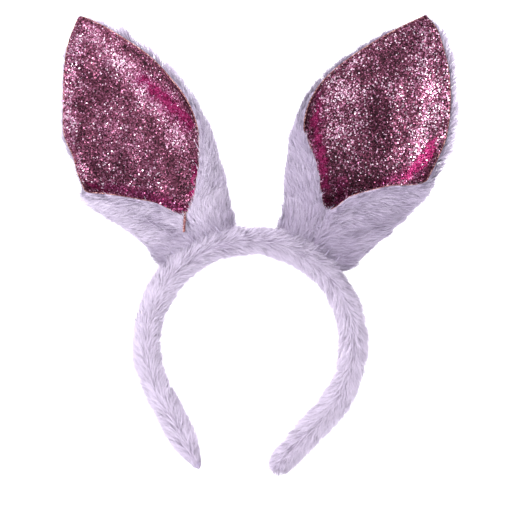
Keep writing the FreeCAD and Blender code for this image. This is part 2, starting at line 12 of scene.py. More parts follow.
import bpy
import numpy as np
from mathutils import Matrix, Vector


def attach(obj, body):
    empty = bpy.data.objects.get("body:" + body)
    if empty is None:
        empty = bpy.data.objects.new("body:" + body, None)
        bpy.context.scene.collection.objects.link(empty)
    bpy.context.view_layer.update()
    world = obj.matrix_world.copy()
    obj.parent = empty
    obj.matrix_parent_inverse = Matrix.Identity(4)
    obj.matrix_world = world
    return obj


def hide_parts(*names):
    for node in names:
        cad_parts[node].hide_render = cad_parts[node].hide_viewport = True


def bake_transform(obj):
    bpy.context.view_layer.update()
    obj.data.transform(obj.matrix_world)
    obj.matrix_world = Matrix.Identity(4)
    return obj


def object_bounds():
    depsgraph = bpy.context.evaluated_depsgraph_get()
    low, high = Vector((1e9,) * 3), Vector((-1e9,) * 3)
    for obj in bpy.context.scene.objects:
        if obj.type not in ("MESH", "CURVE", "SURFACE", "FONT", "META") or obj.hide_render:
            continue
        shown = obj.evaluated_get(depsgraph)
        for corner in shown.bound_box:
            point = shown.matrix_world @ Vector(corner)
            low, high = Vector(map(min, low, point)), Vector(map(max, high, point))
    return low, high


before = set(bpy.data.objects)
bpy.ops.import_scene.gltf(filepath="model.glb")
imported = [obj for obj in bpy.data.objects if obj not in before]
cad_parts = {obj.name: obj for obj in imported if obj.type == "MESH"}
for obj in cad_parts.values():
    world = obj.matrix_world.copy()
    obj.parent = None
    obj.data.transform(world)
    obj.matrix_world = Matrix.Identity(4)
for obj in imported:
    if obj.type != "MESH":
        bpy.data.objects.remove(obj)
cad_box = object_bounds()

MM = 0.001
DRAFT = 1.0
rng = np.random.default_rng(11)

# the band
HOOP_RADIUS = 65.0        # of the hoop's centre line
HOOP_ROLL = 7.5           # how far the hoop is turned under the ears
ARC_LENGTH = HOOP_RADIUS * math.radians(125.5)
LEFT_END = ARC_LENGTH + 54.6
RIGHT_END = ARC_LENGTH + 46.8
SKIN_THICK = 5.9          # half the skin's thickness, along the hoop's radius
SKIN_WIDE = 6.6           # half the skin's width, front to back
NAP_SPREAD = 27           # how far the band's nap turns away from its front line
FLEX_AT = HOOP_RADIUS * math.radians(58)
FLEX_BLEND = 12           # how far on each side of the flex line the cloth would bend; band_piece finds these ends but does not use them
EAR_SEATS = (-39.7, 30.1)  # where on the hoop the ears are

# the ears
SEAT_RADIUS = 71.0        # from the hoop's centre to the height 0 of an ear
SPLIT_HEIGHT = 46.0       # where an ear's lower pieces end and its upper ones begin
TILT_BLEND = (3.0, 24.0)  # heights of the blend from the band to the ear, which ear_piece looks up but does not use
FOLD_BLEND = (84.0, 124.0)  # heights of the blend from the ear to its folding tip, which ear_piece looks up but does not use
SKIN_DEPTH = 2.4          # from the ear's middle surface back to the fur fabric's skin
PANEL_DEPTH = 0.6         # from the middle surface forward to the glitter fabric
WIRE_INSET = 3.0          # from the ear's edge to its wire
WIRE_RADIUS = 0.55
EDGE_RADIUS = 0.42
THREAD_RADIUS = 0.35
CUP_FLOOR = 2.0           # height to which the glitter fabric goes down inside the cup
FLAKE_RADIUS = 0.47
FLAKES_PER_MM2 = 2.25

# rows of an ear: height, outer half width, outer turn, inner half width, inner turn, flattening, back
# The half width is seen from the front. The turn is how far the cloth has turned forwards at that edge.
LEFT_ROWS = [
    (-6, 16.0, 182, 16.0, 178, 0.24, 10.0),
    (-2, 21.0, 182, 21.0, 178, 0.25, 10.7),
    (3, 24.0, 182, 23.4, 178, 0.26, 11.3),
    (10, 24.6, 182, 24.6, 178, 0.29, 12.0),
    (18, 26.6, 182, 26.6, 177, 0.32, 12.6),
    (24, 28.6, 174, 28.0, 161, 0.35, 13.0),
    (28, 30.5, 170, 29.4, 153, 0.37, 13.2),
    (35, 34.0, 162, 31.4, 144, 0.39, 13.5),
    (42, 37.6, 150, 33.0, 133, 0.41, 13.8),
    (49, 41.4, 138, 34.6, 125, 0.43, 14.0),
    (56, 44.6, 122, 36.0, 118, 0.45, 14.2),
    (60, 46.2, 107, 36.7, 113, 0.46, 14.3),
    (64, 47.0, 86, 37.1, 109, 0.47, 14.4),
    (68, 47.2, 62, 37.3, 105, 0.48, 14.5),
    (74, 47.2, 43, 37.3, 98, 0.49, 14.6),
    (85, 45.2, 30, 37.0, 84, 0.50, 14.8),
    (101, 43.8, 24, 34.0, 66, 0.52, 15.0),
    (119, 34.9, 20, 28.6, 50, 0.58, 15.3),
    (138, 24.3, 16, 18.8, 38, 0.64, 15.6),
    (151, 15.0, 14, 10.8, 28, 0.72, 15.8),
    (160, 5.2, 12, 4.0, 20, 0.90, 16.0),
    (163.5, 0.9, 10, 0.9, 12, 1.00, 16.0),
]
RIGHT_ROWS = [
    (-6, 11.0, 186, 12.0, 174, 0.24, 10.0),
    (-2, 18.0, 186, 18.0, 174, 0.25, 10.7),
    (3, 23.0, 186, 21.5, 174, 0.26, 11.3),
    (10, 26.0, 186, 22.4, 174, 0.29, 12.0),
    (17, 28.2, 186, 24.5, 174, 0.32, 12.6),
    (25, 31.0, 186, 27.5, 173, 0.35, 13.0),
    (30, 33.5, 180, 29.5, 163, 0.37, 13.2),
    (35, 35.0, 176, 31.5, 157, 0.38, 13.5),
    (40, 37.0, 172, 33.5, 152, 0.40, 13.8),
    (46.5, 38.8, 162, 35.5, 144, 0.42, 14.0),
    (52, 40.5, 153, 37.5, 137, 0.43, 14.1),
    (56, 41.8, 146, 39.0, 130, 0.44, 14.2),
    (60, 43.0, 135, 40.0, 122, 0.45, 14.3),
    (64, 43.9, 120, 40.9, 111, 0.46, 14.4),
    (68, 44.6, 105, 41.5, 103, 0.47, 14.5),
    (73, 45.2, 88, 42.4, 97, 0.48, 14.6),
    (84, 45.8, 66, 43.4, 80, 0.49, 14.8),
    (96, 45.7, 52, 42.2, 64, 0.51, 15.0),
    (110, 42.5, 42, 37.4, 52, 0.55, 15.2),
    (126.6, 35.8, 34, 28.6, 42, 0.60, 15.4),
    (141.6, 27.6, 27, 19.2, 34, 0.66, 15.6),
    (153, 18.2, 22, 11.0, 26, 0.74, 15.8),
    (162, 9.0, 18, 4.0, 20, 0.88, 16.0),
    (166, 1.2, 12, 1.0, 14, 1.00, 16.0),
]

# Creases in the fur of the folded flaps: across, height, half width. The skin is pushed in along them,
# and the pile there is darkened as painted shade.
LEFT_CREASES = [[(6, 8, 3), (12, 24, 3.5), (21, 37, 2.5)]]
RIGHT_CREASES = [[(13, 18, 3.5), (23, 33, 5), (31, 43, 3.5)], [(5, 4, 4), (16, 8, 3)]]

# Lines on the ears' fronts: across, height, half width. Along the bare ones the flakes are worn off a crease.
# Along the others they are magenta, pale or dark: the pale ones are painted highlights, where the cupped
# fabric would catch the light, and the dark ones painted shade.
LEFT_LINES = {
    "bare": [[(-17.5, 110, 1.4), (-21, 99, 3.0), (-25.5, 88, 4.0), (-29.5, 77, 4.0), (-31.5, 67, 2.2)],
             [(-22.5, 47, 1.6), (-15.5, 36, 1.9), (-9, 27, 1.3)],
             [(44.5, 68, 1.2), (42, 63, 2.0), (37, 57, 1.4)]],
    "magenta": [[(34, 59, 2.6), (22, 48, 3.6), (8, 35, 4.2), (-1, 22, 4.0)],
                [(-17, 110, 4), (-25, 88, 7), (-30, 68, 4)]],
    "pale": [[(8, 151, 3.5), (18, 138, 4), (28, 123, 4.5), (39, 103, 4.5), (42.5, 88, 4), (44, 70, 3.2)],
             [(-2, 148, 6), (-11, 120, 7), (-16, 92, 6), (-21, 64, 5)]],
    "dark": [[(15, 134, 4), (9, 125, 6), (4, 112, 7)], [(25, 116, 4), (32, 99, 5), (36, 84, 5), (37, 72, 4)],
             [(-9, 82, 6), (-5, 63, 6)], [(-7, 55, 7), (-8, 37, 7)],
             [(-33, 97, 2.5), (-29.5, 108, 3.2), (-24.5, 119, 3.2), (-17, 132, 2.5)]],
}
RIGHT_LINES = {
    "bare": [[(-38.5, 87, 1.4), (-34.5, 73, 2.8), (-23.5, 60, 3.0), (-11, 43, 2.6), (-4, 31, 1.5)],
             [(39, 99, 1.2), (39, 90, 3.2), (38.5, 80, 3.8), (33, 68, 2.2)]],
    "magenta": [[(-2, 46, 5), (2, 36, 5)], [(-40, 90, 3), (-30, 66, 5), (-9, 38, 4)],
                [(38, 74, 5), (20, 57, 2.5)]],
    "pale": [[(-31, 88, 6), (-24, 99, 8)], [(-37, 97, 3), (-27, 121, 3)], [(-20, 74, 5), (-8, 84, 6)],
             [(3, 156, 4), (12, 139, 5.5), (25, 121, 7), (31, 104, 7), (29, 86, 5)]],
    "dark": [[(-27, 109, 5), (-12, 127, 6), (-3, 145, 5)], [(-4, 103, 8), (9, 82, 9), (8, 62, 9)],
             [(-14, 58, 7), (0, 50, 8), (22, 62, 6)]],
}


# ---------------------------------------------------------------- numbers and vectors

def unit(v):
    return v / np.maximum(np.linalg.norm(v, axis=-1, keepdims=True), 1e-9)


def smooth_step(low, high, x):
    t = np.clip((np.asarray(x, float) - low) / (high - low), 0, 1)
    return t * t * (3 - 2 * t)


def smooth_curve(xs, ys):
    """A smooth function through these points that never overshoots them."""
    xs, ys = np.asarray(xs, float), np.asarray(ys, float)
    rise, run = np.diff(ys), np.diff(xs)
    slope = rise / run
    tangent = np.concatenate([slope[:1], (slope[1:] + slope[:-1]) / 2, slope[-1:]])
    flat = np.concatenate([[False], slope[1:] * slope[:-1] <= 0, [False]])
    tangent[flat] = 0
    limit = 3 * np.minimum(np.abs(np.r_[slope[0], slope]), np.abs(np.r_[slope, slope[-1]]))
    tangent = np.clip(tangent, -limit, limit)

    def value(x):
        x = np.clip(np.asarray(x, float), xs[0], xs[-1])
        at = np.clip(np.searchsorted(xs, x, side="right") - 1, 0, len(run) - 1)
        t = (x - xs[at]) / run[at]
        start = ys[at] * (1 + 2 * t) * (1 - t) ** 2 + run[at] * tangent[at] * t * (1 - t) ** 2
        end = ys[at + 1] * t * t * (3 - 2 * t) + run[at] * tangent[at + 1] * t * t * (t - 1)
        return start + end

    return value


def waves(seed, count, scale):
    """A smooth random function of points in space, about -1 to 1, with features of this size."""
    r = np.random.default_rng(seed)
    ways = unit(r.normal(size=(count, 3))) * (2 * np.pi / scale) * r.uniform(0.6, 1.5, (count, 1))
    phase = r.uniform(0, 2 * np.pi, count)
    return lambda p: np.sin(p @ ways.T + phase).sum(-1) / math.sqrt(count)


def near_lines(across, height, lines):
    """How near places are to lines of (across, height, half width): 1 on them, falling to 0 beside them."""
    nearness = np.zeros(np.shape(across))
    for line in lines:
        for (x0, h0, w0), (x1, h1, w1) in zip(line, line[1:]):
            dx, dh = x1 - x0, h1 - h0
            t = np.clip(((across - x0) * dx + (height - h0) * dh) / (dx * dx + dh * dh), 0, 1)
            distance = np.hypot(across - x0 - t * dx, height - h0 - t * dh)
            nearness = np.maximum(nearness, np.exp(-((distance / (w0 + t * (w1 - w0))) ** 2)))
    return nearness


def turn_y(degrees):
    c, s = math.cos(math.radians(degrees)), math.sin(math.radians(degrees))
    return np.array([[c, 0, s], [0, 1, 0], [-s, 0, c]])


def turn_z(degrees):
    c, s = math.cos(math.radians(degrees)), math.sin(math.radians(degrees))
    return np.array([[c, -s, 0], [s, c, 0], [0, 0, 1]])


# ---------------------------------------------------------------- meshes

def make_mesh(name, points, faces, material, uv=None, normals=None, smooth=True):
    """A mesh object from points in millimetres and faces that all have the same number of corners, or several
    such arrays of faces. uv and normals are given for each point."""
    groups = [np.asarray(g) for g in (faces if isinstance(faces, (list, tuple)) else [faces]) if len(g)]
    corners = np.concatenate([g.ravel() for g in groups])
    sizes = np.concatenate([np.full(len(g), g.shape[1]) for g in groups])
    starts = np.concatenate([[0], np.cumsum(sizes)[:-1]])
    mesh = bpy.data.meshes.new(name)
    mesh.vertices.add(len(points))
    mesh.vertices.foreach_set("co", (np.asarray(points) * MM).astype(np.float32).ravel())
    mesh.loops.add(len(corners))
    mesh.loops.foreach_set("vertex_index", corners.astype(np.int32))
    mesh.polygons.add(len(starts))
    mesh.polygons.foreach_set("loop_start", starts.astype(np.int32))
    mesh.polygons.foreach_set("use_smooth", np.full(len(starts), smooth))
    if uv is not None:
        layer = mesh.uv_layers.new(name="OFBake")
        layer.data.foreach_set("uv", np.asarray(uv)[corners].astype(np.float32).ravel())
    mesh.update(calc_edges=True)
    mesh.validate()
    if normals is not None:
        mesh.normals_split_custom_set_from_vertices(np.asarray(normals, np.float32))
    mesh.materials.append(material)
    made = bpy.data.objects.new(name, mesh)
    bpy.context.scene.collection.objects.link(made)
    return made


def grid_faces(rows, columns, closed=False, flip=False, first=0):
    """The quads of a grid of points, row after row; closed joins each row's last point to its first."""
    i, j = np.meshgrid(np.arange(rows - 1), np.arange(columns if closed else columns - 1), indexing="ij")
    nxt = (j + 1) % columns
    quads = np.stack([i * columns + j, i * columns + nxt, (i + 1) * columns + nxt, (i + 1) * columns + j], -1)
    quads = quads.reshape(-1, 4) + first
    return quads[:, ::-1] if flip else quads


def tube(path, radius, sides=8):
    """A round tube along points, closed at both ends: its points and its faces, quads and then triangles."""
    path = np.asarray(path, float)
    radius = np.broadcast_to(radius, len(path))
    along = unit(np.gradient(path, axis=0))
    across = unit(np.cross(along, [0.13, 1.0, 0.21]))
    other = np.cross(along, across)
    angle = np.arange(sides) * 2 * np.pi / sides
    ring = across[:, None] * np.cos(angle)[None, :, None] + other[:, None] * np.sin(angle)[None, :, None]
    points = (path[:, None] + ring * radius[:, None, None]).reshape(-1, 3)
    count = len(points)
    points = np.vstack([points, path[0], path[-1]])
    j = np.arange(sides)
    start = np.stack([np.full(sides, count), (j + 1) % sides, j], -1)
    last = count - sides
    end = np.stack([np.full(sides, count + 1), last + j, last + (j + 1) % sides], -1)
    return points, grid_faces(len(path), sides, closed=True), np.vstack([start, end])


def tubes(name, paths, radius, material, sides=8):
    """Several tubes as one object."""
    points, quads, triangles, count = [], [], [], 0
    for path in paths:
        p, q, t = tube(path, radius, sides)
        points.append(p)
        quads.append(q + count)
        triangles.append(t + count)
        count += len(p)
    return make_mesh(name, np.vstack(points), [np.vstack(quads), np.vstack(triangles)], material)


# ---------------------------------------------------------------- materials

def material(name, **sockets):
    """A Principled material, and its node tree and shader, with these sockets set."""
    made = bpy.data.materials.new(name)
    made.use_nodes = True
    shader = made.node_tree.nodes["Principled BSDF"]
    for socket, value in sockets.items():
        shader.inputs[socket.replace("_", " ")].default_value = value
    return made, made.node_tree, shader


def add_node(tree, kind, **settings):
    node = tree.nodes.new("ShaderNode" + kind)
    for key, value in settings.items():
        if hasattr(node, key):
            setattr(node, key, value)
        else:
            node.inputs[key.replace("_", " ")].default_value = value
    return node


def ramp(tree, factor, stops):
    """A colour ramp driven by a factor, with stops of (position, colour)."""
    node = tree.nodes.new("ShaderNodeValToRGB")
    band = node.color_ramp
    while len(band.elements) < len(stops):
        band.elements.new(0.5)
    for element, (position, colour) in zip(band.elements, stops):
        element.position = position
        element.color = (*colour, 1)
    tree.links.new(factor, node.inputs["Fac"])
    return node.outputs["Color"]


def mix(tree, a, b, factor, blend="MIX"):
    """Mixes two colours; a factor may be a number or an output."""
    node = tree.nodes.new("ShaderNodeMix")
    node.data_type = "RGBA"
    node.blend_type = blend
    for value, socket in ((factor, node.inputs[0]), (a, node.inputs[6]), (b, node.inputs[7])):
        if isinstance(value, (int, float, tuple)):
            socket.default_value = value
        else:
            tree.links.new(value, socket)
    return node.outputs[2]


def object_noise(tree, scale, detail=3.0):
    """Noise fixed to the object's own space, with this many features a metre."""
    place = add_node(tree, "TexCoord")
    noise = add_node(tree, "TexNoise", Scale=scale, Detail=detail)
    tree.links.new(place.outputs["Object"], noise.inputs["Vector"])
    return noise.outputs["Fac"]


def bump(tree, shader, height, strength, distance):
    node = add_node(tree, "Bump", Strength=strength, Distance=distance)
    tree.links.new(height, node.inputs["Height"])
    tree.links.new(node.outputs["Normal"], shader.inputs["Normal"])


def fur_material():
    """Pile: darker at the root, pale and a little silky at the tip, each tuft its own shade, and darker where
    shade is painted in.
    """
    made, tree, shader = material("fur_pile", Roughness=0.6, Sheen_Weight=0.6, Sheen_Roughness=0.35)
    shader.inputs["Sheen Tint"].default_value = (0.9, 0.85, 1.0, 1)
    shader.inputs["Specular IOR Level"].default_value = 0.3
    place = add_node(tree, "UVMap", uv_map="OFBake")
    parts = add_node(tree, "SeparateXYZ")
    tree.links.new(place.outputs["UV"], parts.inputs[0])
    length = ramp(tree, parts.outputs["Y"], [(0.0, ROOT_COLOUR), (0.45, MIDDLE_COLOUR), (1.0, TIP_COLOUR)])
    shade = ramp(tree, parts.outputs["X"], TUFT_SHADES)
    tree.links.new(mix(tree, length, shade, 1.0, "MULTIPLY"), shader.inputs["Base Color"])
    return made


def skin_material():
    """The fur's knitted backing and the dense underfur on it."""
    made, tree, shader = material("fur_skin", Roughness=0.85, Sheen_Weight=0.3)
    shader.inputs["Specular IOR Level"].default_value = 0.2
    fine = object_noise(tree, 1600)
    broad = object_noise(tree, 120)
    colour = ramp(tree, fine, [(0.3, (0.36, 0.29, 0.42)), (0.7, (0.50, 0.42, 0.56))])
    shade = ramp(tree, broad, [(0.3, (0.86, 0.86, 0.86)), (0.7, (1, 1, 1))])
    tree.links.new(mix(tree, colour, shade, 1.0, "MULTIPLY"), shader.inputs["Base Color"])
    bump(tree, shader, fine, 0.6, 0.0006)
    return made


def flake_material():
    """Cut film flakes: metallic, from near-black maroon to a pale silvery pink."""
    made, tree, shader = material("glitter_flakes", Metallic=0.72, Roughness=0.28)
    place = add_node(tree, "UVMap", uv_map="OFBake")
    parts = add_node(tree, "SeparateXYZ")
    tree.links.new(place.outputs["UV"], parts.inputs[0])
    usual = ramp(tree, parts.outputs["X"], FLAKE_COLOURS)
    magenta = ramp(tree, parts.outputs["X"], MAGENTA_COLOURS)
    tree.links.new(mix(tree, usual, magenta, parts.outputs["Y"]), shader.inputs["Base Color"])
    return made


def panel_material():
    """The film behind the flakes, dark under them and magenta where they are worn off along its creases."""
    made, tree, shader = material("glitter_backing", Metallic=0.9, Roughness=0.34)
    worn = add_node(tree, "Attribute", attribute_name="worn")
    place = add_node(tree, "TexCoord")
    cells = add_node(tree, "TexVoronoi", Scale=1500.0)
    tree.links.new(place.outputs["Object"], cells.inputs["Vector"])
    parts = add_node(tree, "SeparateXYZ")
    tree.links.new(cells.outputs["Color"], parts.inputs[0])
    covered = ramp(tree, parts.outputs["X"], COVERED_FILM_COLOURS)
    bare = ramp(tree, parts.outputs["X"], BARE_FILM_COLOURS)
    tree.links.new(mix(tree, covered, bare, worn.outputs["Fac"]), shader.inputs["Base Color"])
    bump(tree, shader, cells.outputs["Distance"], 0.35, 0.0005)
    return made


def edge_material():
    """The folded raw edge of the glitter cloth: coppery and pink, rough."""
    made, tree, shader = material("glitter_edge", Metallic=0.85, Roughness=0.38)
    fine = object_noise(tree, 900, 4)
    colour = ramp(tree, fine, EDGE_COLOURS)
    tree.links.new(colour, shader.inputs["Base Color"])
    bump(tree, shader, fine, 0.8, 0.0004)
    return made


def thread_material():
    """Two-ply sewing thread."""
    made, tree, shader = material("thread", Roughness=0.7, Sheen_Weight=0.2)
    place = add_node(tree, "TexCoord")
    twist = add_node(tree, "TexWave", bands_direction="DIAGONAL", Scale=900.0, Distortion=0.4)
    tree.links.new(place.outputs["Object"], twist.inputs["Vector"])
    colour = ramp(tree, twist.outputs["Fac"], [(0.2, (0.32, 0.26, 0.40)), (0.8, (0.50, 0.43, 0.58))])
    tree.links.new(colour, shader.inputs["Base Color"])
    bump(tree, shader, twist.outputs["Fac"], 0.5, 0.0002)
    return made


def plastic_material():
    """The hoop's moulded plastic, faintly uneven."""
    made, tree, shader = material("hoop_plastic", Roughness=0.42)
    fine = object_noise(tree, 700)
    colour = ramp(tree, object_noise(tree, 60), [(0.3, (0.70, 0.69, 0.68)), (0.7, (0.78, 0.77, 0.76))])
    tree.links.new(colour, shader.inputs["Base Color"])
    bump(tree, shader, fine, 0.15, 0.0002)
    return made


def wire_material():
    """Drawn steel wire."""
    made, tree, shader = material("wire_steel", Metallic=1.0, Roughness=0.35)
    colour = ramp(tree, object_noise(tree, 500), [(0.3, (0.42, 0.42, 0.43)), (0.7, (0.6, 0.6, 0.61))])
    tree.links.new(colour, shader.inputs["Base Color"])
    return made


def floor_material():
    """The studio's floor, which glows a little so that it stays pale."""
    made, tree, shader = material("pale_floor", Roughness=0.9)
    colour = ramp(tree, object_noise(tree, 3), [(0.3, (0.93, 0.93, 0.94)), (0.7, (0.95, 0.95, 0.95))])
    tree.links.new(colour, shader.inputs["Base Color"])
    shader.inputs["Emission Color"].default_value = (1, 1, 1, 1)
    shader.inputs["Emission Strength"].default_value = 0.25
    return made


ROOT_COLOUR = (0.40, 0.34, 0.455)
MIDDLE_COLOUR = (0.69, 0.605, 0.75)
TIP_COLOUR = (0.84, 0.76, 0.89)
TUFT_SHADES = [(0.0, (0.58, 0.55, 0.62)), (0.5, (0.84, 0.83, 0.855)), (1.0, (1, 1, 1))]
FLAKE_COLOURS = [(0.0, (0.014, 0.002, 0.006)), (0.22, (0.09, 0.019, 0.040)), (0.5, (0.235, 0.066, 0.122)),
                 (0.75, (0.41, 0.145, 0.260)), (0.9, (0.66, 0.35, 0.52)), (1.0, (0.90, 0.68, 0.81))]
MAGENTA_COLOURS = [(0.0, (0.045, 0.001, 0.016)), (0.5, (0.23, 0.014, 0.095)), (1.0, (0.52, 0.14, 0.34))]
COVERED_FILM_COLOURS = [(0.0, (0.03, 0.006, 0.014)), (1.0, (0.15, 0.035, 0.07))]
BARE_FILM_COLOURS = [(0.0, (0.055, 0.001, 0.017)), (0.6, (0.17, 0.006, 0.056)), (1.0, (0.36, 0.042, 0.15))]
EDGE_COLOURS = [(0.36, (0.05, 0.010, 0.016)), (0.5, (0.20, 0.06, 0.065)), (0.62, (0.62, 0.36, 0.33))]
FUR = fur_material()
SKIN = skin_material()
FLAKES = flake_material()
PANEL = panel_material()
EDGE = edge_material()
THREAD = thread_material()
PLASTIC = plastic_material()
WIRE = wire_material()


# ---------------------------------------------------------------- fur

def scatter(surface, low, high, count, cells=(48, 96)):
    """count random places on a surface, evenly by area: two arrays of its parameters, and the area."""
    a = np.linspace(low[0], high[0], cells[0] + 1)
    b = np.linspace(low[1], high[1], cells[1] + 1)
    points, _ = surface(*np.meshgrid(a, b, indexing="ij"))
    d1, d2 = points[1:, 1:] - points[:-1, :-1], points[1:, :-1] - points[:-1, 1:]
    area = np.linalg.norm(np.cross(d1, d2), axis=-1).ravel()
    chosen = rng.choice(area.size, count, p=area / area.sum())
    i, j = np.divmod(chosen, cells[1])
    places = a[i] + rng.random(count) * (a[1] - a[0]), b[j] + rng.random(count) * (b[1] - b[0])
    return places, area.sum() / 2


def tufts(surface, nap, low, high, per_mm2):
    """Roots in tufts on a surface. Returns arrays (tufts, strands in each, 3) of roots, normals and naps, and
    the parameters. surface(a, b) gives points and normals, and nap(a, b) the way that the pile lies there."""
    _, area = scatter(surface, low, high, 10)
    count = max(int(area * per_mm2 * DRAFT / TUFT_STRANDS), 4)
    (a, b), _ = scatter(surface, low, high, count)
    step = 1e-3
    centre, _ = surface(a, b)
    along_a = np.linalg.norm(surface(a + step, b)[0] - centre, axis=-1) / step + 1e-6
    along_b = np.linalg.norm(surface(a, b + step)[0] - centre, axis=-1) / step + 1e-6
    spread = rng.normal(size=(2, count, TUFT_STRANDS)) * TUFT_SIZE
    a2 = np.clip(a[:, None] + spread[0] / along_a[:, None], low[0], high[0])
    b2 = np.clip(b[:, None] + spread[1] / along_b[:, None], low[1], high[1])
    points, normals = surface(a2, b2)
    return points, normals, unit(nap(a2, b2)), a2, b2


TUFT_STRANDS = 14
TUFT_SIZE = 1.3           # how far a tuft's roots spread
TUFT_SWIRL = 7            # how far whole tufts turn aside, in degrees
TUFT_PULL = 0.1           # how far a tuft's tips draw together, as a share
STRAND_HALF_WIDTH = 0.13
LONGEST_STRAND = 13.2
STRAY_SHARE = 0.2
UNEVEN = 0.3              # how much the strands' shading differs from the skin's
STEPS = np.array([0.0, 0.36, 0.7, 1.0])   # places along a strand, as shares of its length
TAPER = np.array([0.8, 1.0, 0.72, 0.0])   # its width there
STRAND_POINTS = np.array([0, 0, 1, 1, 2, 2, 3])   # the place that each of its points is at


def fur(name, roots, normals, naps, length, lift, painted_light_and_tone):
    """Tapered ribbons from tufts of roots. lift is how far they stand up from the skin, in degrees, and the
    last argument makes the pile paler or darker as painted shade. A few strays are longer, finer and paler
    than the rest."""
    count, each = roots.shape[:2]
    side = unit(np.cross(normals, naps))
    stray = rng.random((count, each, 1)) < STRAY_SHARE
    aside = rng.normal(0, TUFT_SWIRL, (count, 1, 1))
    aside = np.radians(aside + rng.normal(0, 1, (count, each, 1)) * np.where(stray, 26, 11))
    way = unit(naps * np.cos(aside) + side * np.sin(aside))
    way = unit(way - normals * (way * normals).sum(-1, keepdims=True))
    rise = lift + rng.normal(0, 3.5, (count, 1, 1)) + rng.normal(0, 9, (count, each, 1))
    rise = np.radians(np.clip(rise, 3, 80))
    settle = rise * 0.35
    reach = length * rng.uniform(0.88, 1.06, (count, 1, 1)) * rng.uniform(0.72, 1.12, (count, each, 1))
    reach = np.minimum(reach * np.where(stray, 1.16, 1.0), LONGEST_STRAND)
    curl = rng.normal(0, 0.14, (count, each, 1)) * reach
    start = way * np.cos(rise) + normals * np.sin(rise)
    end = way * np.cos(settle) + normals * np.sin(settle)
    f = STEPS[None, None, :, None]
    bend = start[:, :, None] * (f - f * f / 2) + end[:, :, None] * f * f / 2
    line = roots[:, :, None] + reach[:, :, None] * bend
    line = line + (side * curl)[:, :, None] * f * f
    tip = line[:, :, -1]
    gather = tip.mean(1, keepdims=True) - tip
    line = line + gather[:, :, None] * TUFT_PULL * f ** 1.4
    tangent = unit(line[:, :, -1] - line[:, :, 0])
    across = unit(np.cross(normals, tangent))
    roll = np.radians(rng.normal(0, 38, (count, each, 1)))
    across = across * np.cos(roll) + np.cross(tangent, across) * np.sin(roll)
    half = STRAND_HALF_WIDTH * TAPER[None, None, :, None] * rng.uniform(0.7, 1.3, (count, each, 1, 1))
    half = half * np.where(stray, 0.65, 1.0)[..., None]
    left, right = line - across[:, :, None] * half, line + across[:, :, None] * half
    n = count * each
    left, right = left.reshape(n, 4, 3), right.reshape(n, 4, 3)
    pairs = np.stack([left[:, :3], right[:, :3]], 2).reshape(n, 6, 3)
    points = np.concatenate([pairs, left[:, 3:]], 1)
    base = np.arange(n)[:, None] * 7
    quads = np.concatenate([base + [0, 2, 3, 1], base + [2, 4, 5, 3]])
    triangles = base + [4, 6, 5]
    # each tuft and strand gets a random shade, the painted shade passed in shifts it, and strays are paler
    shade = 0.38 + 0.3 * rng.beta(2.2, 1.8, (count, 1)) + rng.uniform(-0.22, 0.26, (count, each)) + painted_light_and_tone
    shade = shade + 0.25 * stray[..., 0]
    uv = np.stack([np.repeat(shade.reshape(n, 1), 7, 1), np.tile(STEPS[STRAND_POINTS], (n, 1))], -1)
    uv = np.clip(uv, 0.004, 0.996)
    facing = unit(normals + UNEVEN * unit(rng.normal(size=normals.shape))).reshape(n, 1, 3)
    return make_mesh(name, points.reshape(-1, 3), [quads, triangles], FUR, uv.reshape(-1, 2),
                     np.repeat(facing, 7, 1).reshape(-1, 3))


# ---------------------------------------------------------------- the band

lumps = waves(3, 9, 34.0)


def band_line(s):
    """The hoop's centre line at s: point, direction and outward direction, all in the hoop's plane."""
    s = np.asarray(s, float)
    on_arc = np.clip(s, -ARC_LENGTH, ARC_LENGTH)
    angle = on_arc / HOOP_RADIUS + math.radians(HOOP_ROLL)
    zero = np.zeros_like(angle)
    out = np.stack([np.sin(angle), zero, np.cos(angle)], -1)
    along = np.stack([np.cos(angle), zero, -np.sin(angle)], -1)
    return out * HOOP_RADIUS + along * (s - on_arc)[..., None], along, out


def band_size(s, left_length, right_length=4.5):
    """The band's size at s as a share of its usual size. Its ends are drawn together over these lengths."""
    left = np.clip((s + LEFT_END) / left_length, 0, 1) ** 0.5
    right = np.clip((RIGHT_END - s) / right_length, 0, 1) ** 0.5
    return 0.02 + 0.98 * np.minimum(left, right)


def band_surface(s, psi, offset=0.0):
    """Point and outward normal of the band's skin."""
    point, _, out = band_line(s)
    psi = np.radians(psi)
    thick, wide = band_size(s, 24.0)[..., None] * SKIN_THICK, band_size(s, 12.0)[..., None] * SKIN_WIDE
    front = np.array([0.0, -1.0, 0.0])
    c, d = np.cos(psi)[..., None], np.sin(psi)[..., None]
    swell = 1 + 0.085 * lumps(point)[..., None]
    normal = unit(front * c / SKIN_WIDE + out * d / SKIN_THICK)
    shape = (front * c * wide + out * d * thick) * swell
    return point + shape + normal * offset, normal


def band_nap(s, psi):
    """The pile runs from the left end over the crown to the right, and away from the band's front line."""
    _, along, out = band_line(s)
    angle = np.radians(psi)
    around = np.array([0.0, 1.0, 0.0]) * np.sin(angle)[..., None] + out * np.cos(angle)[..., None]
    away = np.sin(angle)[..., None]
    spread = math.tan(math.radians(NAP_SPREAD))
    return along + around * np.tanh(away * 6) * spread


def band_painted_shade(s, psi):
    """How much darker the pile is, as painted shade: over the crown, and under the ears where the light
    reaches it less.
    """
    under = sum(smooth_step(27, 19, np.abs(s - seat)) for seat in EAR_SEATS)
    return -0.2 * smooth_step(75, 45, np.abs(s)) - 0.3 * np.minimum(under, 1) * smooth_step(20, 65, psi)


def band_piece(made, side, *nodes):
    """Bakes a piece of the band into world space and hides the CAD nodes that it stands for. It finds the
    ends of its arm's flex blend but does not use them.
    """
    start, _, _ = band_line(side * (FLEX_AT - FLEX_BLEND))
    end, _, _ = band_line(side * (FLEX_AT + FLEX_BLEND))
    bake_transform(made)
    if nodes:
        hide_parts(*nodes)
    return made


